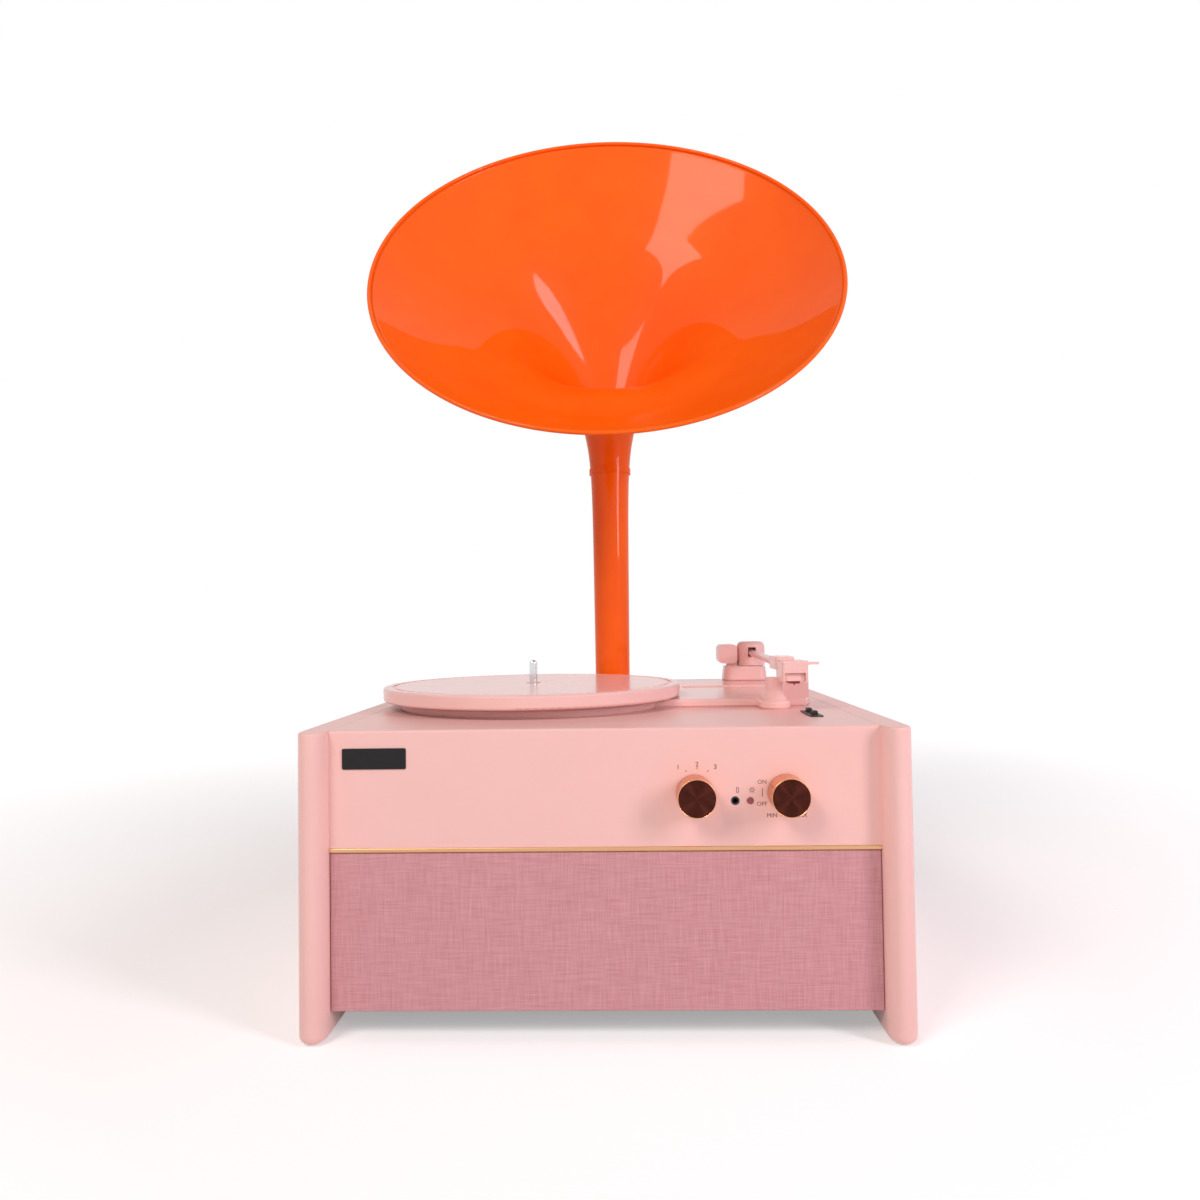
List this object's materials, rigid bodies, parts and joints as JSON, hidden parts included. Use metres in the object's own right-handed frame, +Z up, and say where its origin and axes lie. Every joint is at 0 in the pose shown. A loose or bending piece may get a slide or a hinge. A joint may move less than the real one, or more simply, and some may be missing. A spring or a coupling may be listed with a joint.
{
  "type": "record player",
  "caption": "Table-top record player in a box cabinet with rounded side legs, belt-driven platter, tonearm, front knobs, cloth-covered loudspeakers and a flared upright horn.",
  "frame": {"origin": "on the floor, in the middle of the cabinet's footprint", "axes": "+X to the right seen from the front, +Y to the back, +Z up; the front faces -Y"},
  "size_m": [0.4564, 0.4126, 0.818],
  "materials": {
    "pink_paint": "satin pink lacquer on board",
    "pink_plastic": "glossy moulded plastic",
    "pink_metal": "glossy paint",
    "orange_paint": "high-gloss orange lacquer",
    "brass": "turned and brushed",
    "cloth": "plain woven linen",
    "board": "dark fibreboard",
    "felt": "felt",
    "dark_steel": "black pressed steel",
    "cone_paper": "pressed paper",
    "ferrite": "ferrite and laminations",
    "black_plastic": "black moulding",
    "bright_metal": "plated",
    "chrome": "polished",
    "aluminium": "extruded",
    "circuit_board": "fibreglass board",
    "winding": "taped winding",
    "rubber": "flat belt",
    "red_lens": "clear red lens",
    "cartridge_plastic": "pale moulding",
    "red_plastic": "dark red moulding"
  },
  "bodies": {
    "cabinet": {"side_panel_left": "pink_paint", "side_panel_right": "pink_paint", "top_panel": "pink_paint", "bottom_panel": "pink_paint", "front_panel": "pink_paint", "back_panel": "pink_paint", "foot_pads": "felt", "brass_strip": "brass", "speaker_cloth": "cloth", "grille_board": "board", "speaker_baffle": "board", "speaker_frame_left": "dark_steel", "speaker_frame_right": "dark_steel", "speaker_frame_horn": "dark_steel", "speaker_cone_left": "cone_paper", "speaker_cone_right": "cone_paper", "speaker_cone_horn": "cone_paper", "speaker_magnet_left": "ferrite", "speaker_magnet_right": "ferrite", "speaker_magnet_horn": "ferrite", "jack_plate": "black_plastic", "rca_jacks": "bright_metal", "usb_socket": "bright_metal", "power_inlet": "black_plastic", "source_switch": "bright_metal", "volume_control": "bright_metal", "signal_lamp": "red_lens", "front_jack": "black_plastic", "board_posts": "brass", "amplifier_board": "circuit_board", "heat_sink": "aluminium", "transformer_core": "ferrite", "transformer_coil": "winding", "deck_plate": "pink_plastic", "platter_bearing": "brass", "motor": "bright_metal", "drive_belt": "rubber", "arm_tower": "pink_plastic", "arm_rest": "pink_plastic", "switch_bezel": "black_plastic", "slide_switches": "black_plastic", "horn_socket": "pink_metal"},
    "turntable": {"platter": "pink_plastic", "spindle": "chrome"},
    "motor_drive": {"motor_pulley": "brass"},
    "arm_turret": {"arm_cap": "pink_plastic", "arm_pin": "chrome"},
    "tonearm": {"arm_tube": "pink_metal", "head_shell": "pink_plastic", "cartridge": "cartridge_plastic", "stylus": "red_plastic"},
    "source_dial": {"source_knob": "brass", "source_shaft": "bright_metal"},
    "volume_dial": {"volume_knob": "brass", "volume_shaft": "bright_metal"},
    "speed_key": {"speed_slider": "black_plastic"},
    "autostop_key": {"autostop_slider": "black_plastic"},
    "horn": {"horn_bell": "orange_paint", "horn_tube": "orange_paint", "horn_ring": "orange_paint"}
  },
  "joints": [
    {"name": "platter_spin", "type": "hinge", "parent": "cabinet", "child": "turntable", "pos_m": [-0.0654, -0.0099, 0.231], "axis": [0, 0, -1], "continuous": true},
    {"name": "motor_spin", "type": "hinge", "parent": "cabinet", "child": "motor_drive", "pos_m": [-0.13258, -0.07708, 0.224], "axis": [0, 0, -1], "continuous": true},
    {"name": "tonearm_swing", "type": "hinge", "parent": "cabinet", "child": "arm_turret", "pos_m": [0.1565, 0.172, 0.235], "axis": [0, 0, -1], "range_deg": [0, 38]},
    {"name": "tonearm_lift", "type": "hinge", "parent": "arm_turret", "child": "tonearm", "pos_m": [0.1565, 0.172, 0.2485], "axis": [-1, 0, 0], "range_deg": [0, 8]},
    {"name": "source_turn", "type": "hinge", "parent": "cabinet", "child": "source_dial", "pos_m": [0.0632, -0.1873, 0.1668], "axis": [0, 1, 0], "range_deg": [-23, 23]},
    {"name": "volume_turn", "type": "hinge", "parent": "cabinet", "child": "volume_dial", "pos_m": [0.1255, -0.1873, 0.1668], "axis": [0, 1, 0], "range_deg": [0, 300]},
    {"name": "speed_slide", "type": "slide", "parent": "cabinet", "child": "speed_key", "axis": [0, 1, 0], "range_m": [-0.0035, 0.0035]},
    {"name": "autostop_slide", "type": "slide", "parent": "cabinet", "child": "autostop_key", "axis": [0, 1, 0], "range_m": [-0.0035, 0.0035]},
    {"name": "horn_swivel", "type": "hinge", "parent": "cabinet", "child": "horn", "pos_m": [0.004, 0.145, 0.226], "axis": [0, 0, 1], "range_deg": [-45, 45]}
  ],
  "couplings": [
    {"joint": "motor_spin", "follows": "platter_spin", "ratio": 11.454}
  ]
}
